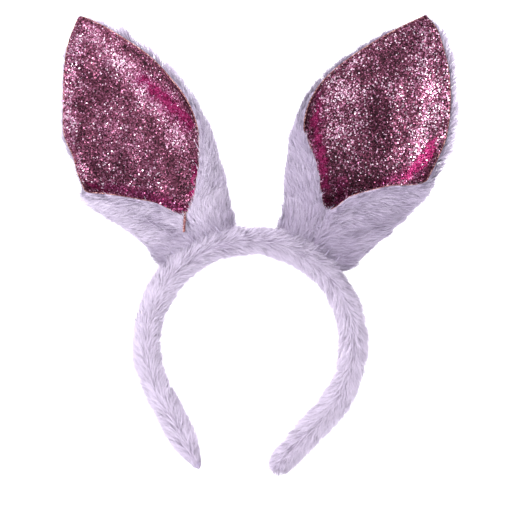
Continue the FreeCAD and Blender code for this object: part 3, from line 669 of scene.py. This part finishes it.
def build_band():
    """The sleeve's skin and pile, in two halves that meet at the crown."""
    for side, word in ((-1, "left"), (1, "right")):
        low, high = (-LEFT_END, 0.0) if side < 0 else (0.0, RIGHT_END)
        end = max(-low, high)
        rows, sides = 130, 24
        s, psi = np.meshgrid(np.linspace(low, high, rows), np.arange(sides) * (360 / sides), indexing="ij")
        points, _ = band_surface(s, psi)
        faces = grid_faces(rows, sides, closed=True, flip=True)
        skin = make_mesh(f"band_skin_{word}", points.reshape(-1, 3), faces, SKIN)
        band_piece(skin, side, f"sleeve_{word}_arm", *(["sleeve_crown"] if side > 0 else []))
        roots, normals, naps, a, b = tufts(band_surface, band_nap, (low, -90.0), (high, 270.0), 4.2)
        near_end = np.clip((end - np.abs(a)) / 14, 0.5, 1)[..., None]
        pile = fur(f"band_fur_{word}", roots, normals, naps, 9.5 * near_end, 33, band_painted_shade(a, b))
        band_piece(pile, side)
        build_band_seam(side, word, end)
        build_tip_gather(side, word, end)


def build_band_seam(side, word, end):
    """The ladder stitches that close the sleeve along its back."""
    paths = []
    for at in np.arange(3.0, end - 6, 6.0) * side:
        s = at + np.linspace(-1.7, 1.7, 7)
        psi = 180 + 10 * np.cos(np.linspace(0, np.pi, 7))
        points, _ = band_surface(s, psi, 0.25 + 0.35 * np.sin(np.linspace(0, np.pi, 7))[:, None])
        paths.append(points)
    made = tubes(f"band_seam_{word}", paths, 0.32, THREAD, 6)
    band_piece(made, side, f"seam_{word}_arm", *(["seam_crown"] if side > 0 else []))


def build_tip_gather(side, word, end):
    """The thread wound round the drawn-in end of the sleeve."""
    turns = np.linspace(0, 3 * 2 * np.pi, 60)
    s = side * (end - 2.2 - turns / (6 * np.pi) * 1.2)
    psi = np.degrees(turns) % 360
    points, _ = band_surface(s, psi, 0.35)
    made = tubes(f"{word}_end_thread", [points], 0.3, THREAD, 6)
    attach(made, f"{word}_arm")
    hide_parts(f"{word}_tip_gather")


# ---------------------------------------------------------------- the ears

class Ear:
    """One ear's surface, in its own frame and in the row's."""

    def __init__(self, word, side, rows, angle, lean, twist, seed, **looks):
        """looks: vee is the height where the edges meet. lines and creases are as above. outer_rim and
        inner_rim are the pile's length at the edges, and bare_tip how much shorter it is at the outer edge's
        tip. flap_shade and inner_shade are how much darker the pile is on the folded flap and on the inner
        side: painted shade. shade, contrast and pale set the flakes' colours; pale is how strongly the pale
        lines are painted in as highlights."""
        self.word, self.side = word, side
        self.__dict__.update(looks)
        table = np.array(rows, float)
        self.low, self.top = table[0, 0], table[-1, 0]
        self.columns = [smooth_curve(table[:, 0], table[:, c]) for c in range(1, table.shape[1])]
        a = math.radians(angle)
        self.foot = SEAT_RADIUS * np.array([side * math.sin(a), 0, math.cos(a)])
        self.turn = turn_y(side * lean) @ turn_z(twist) @ np.diag([side, 1.0, 1.0])
        self.ripple = waves(seed, 10, 46.0)
        self.fine_ripple = waves(seed + 1, 12, 19.0)
        self.patches = waves(seed + 2, 12, 26.0)

    def world(self, points):
        return points @ self.turn.T + self.foot

    def middle(self, u, h):
        """The middle surface in the ear's own frame."""
        u, h = np.broadcast_arrays(np.asarray(u, float), np.asarray(h, float))
        outer, outer_turn, inner, inner_turn, flat, back = [curve(h) for curve in self.columns]
        half = np.where(u > 0, outer, inner)
        turned = np.radians(np.where(u > 0, outer_turn, inner_turn))
        radius = half / np.sin(np.minimum(turned, np.pi / 2))
        phi = turned * np.abs(u)
        x = np.sign(u) * radius * np.sin(phi)
        y = back - radius * (1 - np.cos(phi)) * flat
        points = np.stack([x, y, h], -1)
        calm = smooth_step(0, 40, h) * smooth_step(self.top, self.top - 20, h)
        ripple = 0.9 * self.ripple(points) + 0.35 * self.fine_ripple(points)
        points[..., 1] += ripple * calm
        return points

    def surface(self, u, h, offset=0.0):
        """Point and forward normal, offset forwards from the middle surface."""
        du, dh = 4e-3, 0.25
        u, h = np.broadcast_arrays(np.asarray(u, float), np.asarray(h, float))
        h = np.clip(h, self.low, self.top - 0.05)
        across = self.middle(np.clip(u + du, -1, 1), h) - self.middle(np.clip(u - du, -1, 1), h)
        up = self.middle(u, np.minimum(h + dh, self.top)) - self.middle(u, np.maximum(h - dh, self.low))
        normal = unit(np.cross(across, up))
        points = self.middle(u, h) + normal * (offset if np.isscalar(offset) else offset[..., None])
        return self.world(points), normal @ self.turn.T

    def from_edge(self, u, h):
        """Distance along the section from the nearer edge."""
        outer, outer_turn, inner, inner_turn = [curve(h) for curve in self.columns[:4]]
        half, turned = np.where(u > 0, outer, inner), np.radians(np.where(u > 0, outer_turn, inner_turn))
        radius = half / np.sin(np.minimum(turned, np.pi / 2))
        return (1 - np.abs(u)) * turned * radius * 0.85

    def at_edge(self, sign, h, inset, offset):
        """A point this far in from one edge."""
        h = np.asarray(h, float)
        whole = self.from_edge(np.full_like(h, sign * 1e-6), h)
        u = sign * (1 - np.minimum(inset / np.maximum(whole, 1e-6), 0.9))
        return self.surface(u, h, offset)[0]

    def panel(self, u, h):
        """The glitter fabric's surface, raised where it covers the wire."""
        ridge = 1.0 * np.exp(-(((self.from_edge(u, h) - WIRE_INSET) / 1.25) ** 2))
        return self.surface(u, h, PANEL_DEPTH + ridge)

    def skin(self, u, h):
        """The fur fabric's skin, with its normal to the back."""
        inset = np.clip(self.from_edge(u, h) / 3.0, 0, 1)
        depth = SKIN_DEPTH * np.sqrt(1 - (1 - inset) ** 2) - 2.4 * self.crease(u, h)
        points, normal = self.surface(u, h, -depth)
        return points, -normal

    def crease(self, u, h):
        """How deep in a crease of the flap a place is, from 0 to 1."""
        points = self.middle(u, h)
        return near_lines(points[..., 0], points[..., 2], self.creases) * smooth_step(0.45, 0.6, u)

    def along(self, h):
        """The world point on the ear's axis at this height, in metres."""
        return tuple(self.world(np.array([0.0, 0.0, h])) * MM)

    def nap(self, u, h):
        """Up the ear, and outwards over the flap that folds forwards."""
        du, dh = 0.01, 0.5
        above, below = np.minimum(h + dh, self.top - 0.1), np.maximum(h - dh, self.low)
        up = self.skin(u, above)[0] - self.skin(u, below)[0]
        out = self.skin(np.minimum(u + du, 1), h)[0] - self.skin(np.maximum(u - du, -1), h)[0]
        low = smooth_step(84, 52, h)
        flap = smooth_step(0.45, 0.8, u) * low * (0.95 - 0.6 * smooth_step(0.88, 0.98, u))
        rim = smooth_step(0.72, 0.97, np.abs(u)) * (1 - low) * np.sign(u) * 0.9
        return unit(up) + unit(out) * (rim - flap)[..., None]


EARS = [Ear("left", -1, LEFT_ROWS, angle=27.5, lean=28.0, twist=-4.0, seed=21, vee=20.0, lines=LEFT_LINES,
            creases=LEFT_CREASES, outer_rim=6.0, inner_rim=10.0, bare_tip=1.0, flap_shade=0.16,
            inner_shade=0.0, shade=0.48, contrast=1.05, pale=0.3),
        Ear("right", 1, RIGHT_ROWS, angle=34.0, lean=26.0, twist=2.0, seed=31, vee=26.0, lines=RIGHT_LINES,
            creases=RIGHT_CREASES, outer_rim=13.0, inner_rim=3.8, bare_tip=0.0, flap_shade=0.6,
            inner_shade=0.55, shade=0.42, contrast=1.55, pale=0.28)]
EAR_COLUMNS = 97
ACROSS_EAR = np.sin(np.linspace(-1, 1, EAR_COLUMNS) * np.pi / 2)   # u, closer together towards the edges


def ear_piece(made, ear, part, slot_name, *nodes):
    """Bakes a lower or an upper piece of an ear into world space and hides the CAD nodes that it stands for.
    It looks up the two bodies that the piece joins and their blend heights, but does not use them.
    """
    if part == "lower":
        bodies, heights = ("crown", f"{ear.word}_ear"), TILT_BLEND
    else:
        bodies, heights = (f"{ear.word}_ear", f"{ear.word}_ear_tip"), FOLD_BLEND
    ear.along(heights[0])
    ear.along(heights[1])
    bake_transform(made)
    if nodes:
        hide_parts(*nodes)
    return made


def panel_reach(ear, h):
    """How far across the ear the glitter fabric is seen: all of it, and less inside the closed cup's foot."""
    return 1 - 0.12 * smooth_step(ear.vee - 1, ear.vee - 5, h)


def spans(ear, start):
    """The heights that the lower and upper pieces of an ear cover."""
    return (("lower", start, SPLIT_HEIGHT), ("upper", SPLIT_HEIGHT, ear.top - 0.1))


def build_panel(ear):
    """The glitter fabric's backing."""
    for part, low, high in spans(ear, CUP_FLOOR):
        rows = 50 if part == "lower" else 84
        h, u = np.meshgrid(np.linspace(low, high, rows), ACROSS_EAR, indexing="ij")
        u = u * panel_reach(ear, h)
        points, _ = ear.panel(u, h)
        faces = grid_faces(rows, EAR_COLUMNS, flip=ear.side < 0)
        made = make_mesh(f"{ear.word}_glitter_backing_{part}", points.reshape(-1, 3), faces, PANEL)
        worn = made.data.attributes.new("worn", "FLOAT", "POINT")
        bare = np.maximum(worn_off(ear, u, h), 0.6 * front_mark(ear, "magenta", u, h))
        worn.data.foreach_set("value", bare.ravel().astype(np.float32))
        ear_piece(made, ear, part, "glitter", f"{ear.word}_ear_front_{part}")


def front_mark(ear, kind, u, h):
    """How strongly a place on the ear's front belongs to its bare, magenta, pale or dark lines."""
    points = ear.middle(u, h)
    ragged = 1.3 * ear.fine_ripple(points * 2.4)
    return near_lines(points[..., 0] + ragged, points[..., 2] + 0.6 * ragged, ear.lines[kind])


def worn_off(ear, u, h):
    """How bare of flakes a place on the ear's front is, from 0 to 1."""
    return smooth_step(0.2, 0.62, front_mark(ear, "bare", u, h))


def painted_light_and_tone(ear, u, h):
    """How much paler or darker the flakes are, from place to place: soft random patches, painted highlights
    along the pale lines and painted shade along the dark ones.
    """
    patches = 0.05 * ear.patches(ear.middle(u, h))
    return patches + ear.pale * front_mark(ear, "pale", u, h) - 0.25 * front_mark(ear, "dark", u, h)


def build_flakes(ear):
    """Hexagonal flakes of film, laid flat but for a random tilt."""
    for part, low, high in spans(ear, CUP_FLOOR):
        (u, h), area = scatter(ear.panel, (-0.995, low), (0.995, high), 10)
        count = int(area * FLAKES_PER_MM2 * DRAFT)
        (u, h), _ = scatter(ear.panel, (-0.995, low), (0.995, high), count)
        kept = (rng.random(count) > 0.9 * worn_off(ear, u, h)) & (np.abs(u) < panel_reach(ear, h) - 0.005)
        u, h = u[kept], h[kept]
        count = len(u)
        points, normals = ear.panel(u, h)
        tilt = np.abs(rng.normal(0, 1, (count, 1))) * np.where(rng.random((count, 1)) < 0.66, 0.13, 0.5)
        axis = unit(np.cross(normals, unit(rng.normal(size=(count, 3)))))
        facing = unit(normals + axis * tilt)
        first = unit(np.cross(facing, unit(rng.normal(size=(count, 3)))))
        second = np.cross(facing, first)
        radius = FLAKE_RADIUS * rng.uniform(0.75, 1.2, (count, 1, 1))
        angle = np.arange(6) * np.pi / 3
        ring = first[:, None] * np.cos(angle)[None, :, None] + second[:, None] * np.sin(angle)[None, :, None]
        centre = points + normals * rng.uniform(0.1, 0.5, (count, 1))
        corners = (centre[:, None] + ring * radius).reshape(-1, 3)
        faces = np.arange(count * 6).reshape(-1, 6)
        odd = rng.random(count)
        colour = rng.normal(0, 0.17, count) - 0.42 * (odd < 0.21) + 0.40 * (odd > 0.91)
        # painted highlights along the pale lines and painted shade along the dark ones are added to the
        # flakes' colour here
        colour = np.clip(ear.shade + ear.contrast * colour + painted_light_and_tone(ear, u, h), 0.004, 0.996)
        magenta = np.clip(0.9 * front_mark(ear, "magenta", u, h) + rng.normal(0, 0.08, count), 0.004, 0.996)
        uv = np.repeat(np.stack([colour, magenta], -1), 6, 0)
        made = make_mesh(f"{ear.word}_glitter_{part}", corners, faces, FLAKES, uv, smooth=False)
        ear_piece(made, ear, part, "glitter")


def build_ear_skin(ear):
    """The padded body of the ear: the fur fabric's skin behind, joined at the rim to a hidden front."""
    for part, low, high in spans(ear, ear.low):
        rows = 50 if part == "lower" else 90
        h, u = np.meshgrid(np.linspace(low, high, rows), ACROSS_EAR, indexing="ij")
        back, _ = ear.skin(u, h)
        front, _ = ear.surface(u[:, ::-1], h, 0.15)
        points = np.concatenate([back, front[:, 1:-1]], 1)
        faces = grid_faces(rows, points.shape[1], closed=True, flip=ear.side > 0)
        made = make_mesh(f"{ear.word}_ear_body_{part}", points.reshape(-1, 3), faces, SKIN)
        nodes = [f"{ear.word}_ear_back_{part}", f"{ear.word}_ear_wadding_{part}"]
        if part == "lower":
            nodes += [f"{ear.word}_ear_foot", f"{ear.word}_ear_root"]
        ear_piece(made, ear, part, "fur", *nodes)


def build_ear_fur(ear):
    """The pile on the back of the ear and on its folded flaps."""
    for part, low, high in spans(ear, ear.low + 2):
        roots, normals, naps, u, h = tufts(ear.skin, ear.nap, (-1.0, low), (1.0, high), 3.65)
        edge = np.clip(ear.from_edge(u, h) / 10, 0, 1)
        rim = np.where(u > 0, ear.outer_rim, ear.inner_rim)
        rim = rim + (6.0 - rim) * smooth_step(84, 52, h)
        bare_tip = np.where(u > 0.2, ear.bare_tip, 1.0) * smooth_step(ear.top - 26, ear.top - 5, h)
        bare_tip = np.maximum(bare_tip, smooth_step(ear.top - 12, ear.top - 2, h))
        length = (rim + (9.3 - rim) * edge) * (1 - 0.75 * bare_tip)
        length = length[..., None]
        flap = smooth_step(0.3, 0.6, u) * smooth_step(84, 60, h)
        # painted shade: darker on the folded flap, on the inner side, in the flap's creases, in broad soft
        # patches and at the ear's foot by the band
        shade = -ear.flap_shade * flap - ear.inner_shade * smooth_step(-0.25, -0.5, u)
        shade = shade - 0.6 * ear.crease(u, h) + 0.09 * ear.patches(ear.middle(u, h))
        shade = shade - 0.4 * smooth_step(17, 3, h)
        over = smooth_step(0.86, 0.97, u) * smooth_step(66, 54, h)
        length = length + 2.0 * over[..., None]
        lift = 25 + 14 * over[..., None]
        made = fur(f"{ear.word}_ear_fur_{part}", roots, normals, naps, length, lift, shade)
        ear_piece(made, ear, part, "fur")


def edge_path(ear, part, inset, offset, low):
    """The lines along an ear's edges: one over the tip for the upper part, and two for the lower one."""
    if part == "lower":
        h = np.linspace(low, SPLIT_HEIGHT, 40)
        return [ear.at_edge(sign, h, inset, offset) for sign in (-1, 1)]
    sides, tip = np.linspace(SPLIT_HEIGHT, ear.top - 14, 90), np.linspace(ear.top - 13.4, ear.top - 1.5, 24)
    h = np.concatenate([sides, tip])
    inner, outer = (ear.at_edge(sign, h, inset, offset) for sign in (-1, 1))
    return [np.vstack([inner, outer[::-1]])]


def build_rim(ear):
    """The folded edge of the glitter fabric and the wire inside it."""
    for part in ("lower", "upper"):
        path = edge_path(ear, part, 0.15, 0.5, ear.vee - 1)
        edge = tubes(f"{ear.word}_ear_edge_{part}", path, EDGE_RADIUS, EDGE)
        ear_piece(edge, ear, part, "edge_tape", f"{ear.word}_ear_edge_tape_{part}")
        path = edge_path(ear, part, WIRE_INSET, 0.5, ear.vee)
        wire = tubes(f"{ear.word}_ear_wire_{part}", path, WIRE_RADIUS, WIRE)
        ear_piece(wire, ear, part, "wire", f"{ear.word}_ear_wire_{part}")


def build_seam_tail(ear):
    """The end of the edge's seam, hanging down over the pile below the point where the ear's edges meet."""
    line = [(-2.8, 21.5, 0.5), (-2.4, 19.5, 2.5), (-0.8, 17.0, 4.2), (1.2, 13.8, 5.4), (3.1, 10.6, 5.6)]
    local = np.array([(x, ear.middle(1.0, h)[1] - ahead, h) for x, h, ahead in line])
    bends = [smooth_curve(np.arange(5), local[:, n]) for n in range(3)]
    path = np.stack([bend(np.linspace(0, 4, 25)) for bend in bends], -1)
    beside = path + [0.75, 0.1, 0.1]
    made = tubes(f"{ear.word}_ear_seam_tail", [ear.world(path), ear.world(beside)], 0.5, EDGE)
    ear_piece(made, ear, "lower", "edge_tape")


def build_stitches(ear):
    """The stitches at the foot of the ear and where its edges meet."""
    paths = []
    for sign in (-1, 1):
        for across in (-16, -8, 0, 8, 16):
            t = np.linspace(-1, 1, 9)
            depth = (6.5 + 1.6 * (1 - t * t)) * sign + 2.0
            local = np.stack([across + 0.6 * t, depth, 1.5 + 2.6 * t], -1)
            paths.append(ear.world(local))
    made = tubes(f"{ear.word}_foot_stitches", paths, THREAD_RADIUS, THREAD, 6)
    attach(made, "crown")
    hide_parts(f"{ear.word}_root_stitches")
    paths = []
    for h in (12.0, 16.0):
        ends = [ear.surface(np.array(sign * 0.94), np.array(h), -SKIN_DEPTH - 0.3)[0] for sign in (-1, 1)]
        t = np.linspace(0, 1, 7)[:, None]
        paths.append(ends[0] * (1 - t) + ends[1] * t)
    made = tubes(f"{ear.word}_vee_stitches", paths, THREAD_RADIUS, THREAD, 6)
    ear_piece(made, ear, "lower", "thread", f"{ear.word}_ear_vee_tack")


def build_ears():
    """Every piece of both ears. Only the left one's seam has an end that hangs out."""
    for ear in EARS:
        build_panel(ear)
        build_flakes(ear)
        build_ear_skin(ear)
        build_ear_fur(ear)
        build_rim(ear)
        if ear.side < 0:
            build_seam_tail(ear)
        build_stitches(ear)


# ---------------------------------------------------------------- the studio

VIEW_WIDTH = 326.34       # what the camera sees from side to side, at the hoop
VIEW_CENTRE = (5.7, 53.5)  # X and Z
DISTANCE = 1500.0
SENSOR = 36.0


def place_camera():
    """A camera straight in front of the headband."""
    data = bpy.data.cameras.new("camera")
    data.sensor_width = SENSOR
    data.lens = SENSOR * DISTANCE / VIEW_WIDTH
    data.clip_end = 20
    camera = bpy.data.objects.new("camera", data)
    bpy.context.scene.collection.objects.link(camera)
    camera.location = Vector((VIEW_CENTRE[0], -DISTANCE, VIEW_CENTRE[1])) * MM
    camera.rotation_euler = (math.radians(90), 0, 0)
    bpy.context.scene.camera = camera


def area_light(name, place, size, power, target=(0, 0, 60)):
    """A white rectangular light, its size in metres and its power in watts, turned towards a target."""
    data = bpy.data.lights.new(name, "AREA")
    data.shape = "RECTANGLE"
    data.size, data.size_y = size
    data.energy = power
    light = bpy.data.objects.new(name, data)
    bpy.context.scene.collection.objects.link(light)
    light.location = Vector(place) * MM
    aim = Vector(target) * MM - light.location
    light.rotation_euler = aim.to_track_quat("-Z", "Y").to_euler()


def build_floor():
    """A pale floor that rises in a smooth curve into a wall behind the headband."""
    floor_z = cad_box[0][2] / MM - 1.5
    bend = np.linspace(0, np.pi / 2, 16)
    profile = [(-2600.0, floor_z), (900.0, floor_z)]
    profile += [(900 + 600 * math.sin(a), floor_z + 600 * (1 - math.cos(a))) for a in bend[1:]]
    profile.append((1500.0, floor_z + 2600))
    points = np.array([[x, y, z] for y, z in profile for x in (-3000.0, 3000.0)])
    floor = make_mesh("floor", points, grid_faces(len(profile), 2), floor_material())


def build_studio():
    """Soft light from the front left, from above and from all round, and a light on the wall behind."""
    scene = bpy.context.scene
    scene.view_settings.view_transform = "Standard"
    world = bpy.data.worlds.new("studio")
    scene.world = world
    world.use_nodes = True
    world.node_tree.nodes["Background"].inputs["Color"].default_value = (0.92, 0.93, 1.0, 1)
    world.node_tree.nodes["Background"].inputs["Strength"].default_value = 0.42
    area_light("key", (-900, -1300, 1000), (0.9, 0.9), 36)
    area_light("fill", (1300, -1100, 400), (1.0, 1.0), 5)
    area_light("top", (100, 100, 1400), (1.4, 1.0), 9)
    area_light("wall", (0, 500, 1600), (2.4, 0.8), 40, target=(0, 1500, 300))


def finish_cad_nodes():
    """The hoop's own CAD nodes stay, inside the sleeve, and get their material."""
    for name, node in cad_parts.items():
        if name.startswith("hoop_"):
            node.data.materials.clear()
            node.data.materials.append(PLASTIC)


place_camera()
build_studio()
build_floor()
build_band()
build_ears()
finish_cad_nodes()
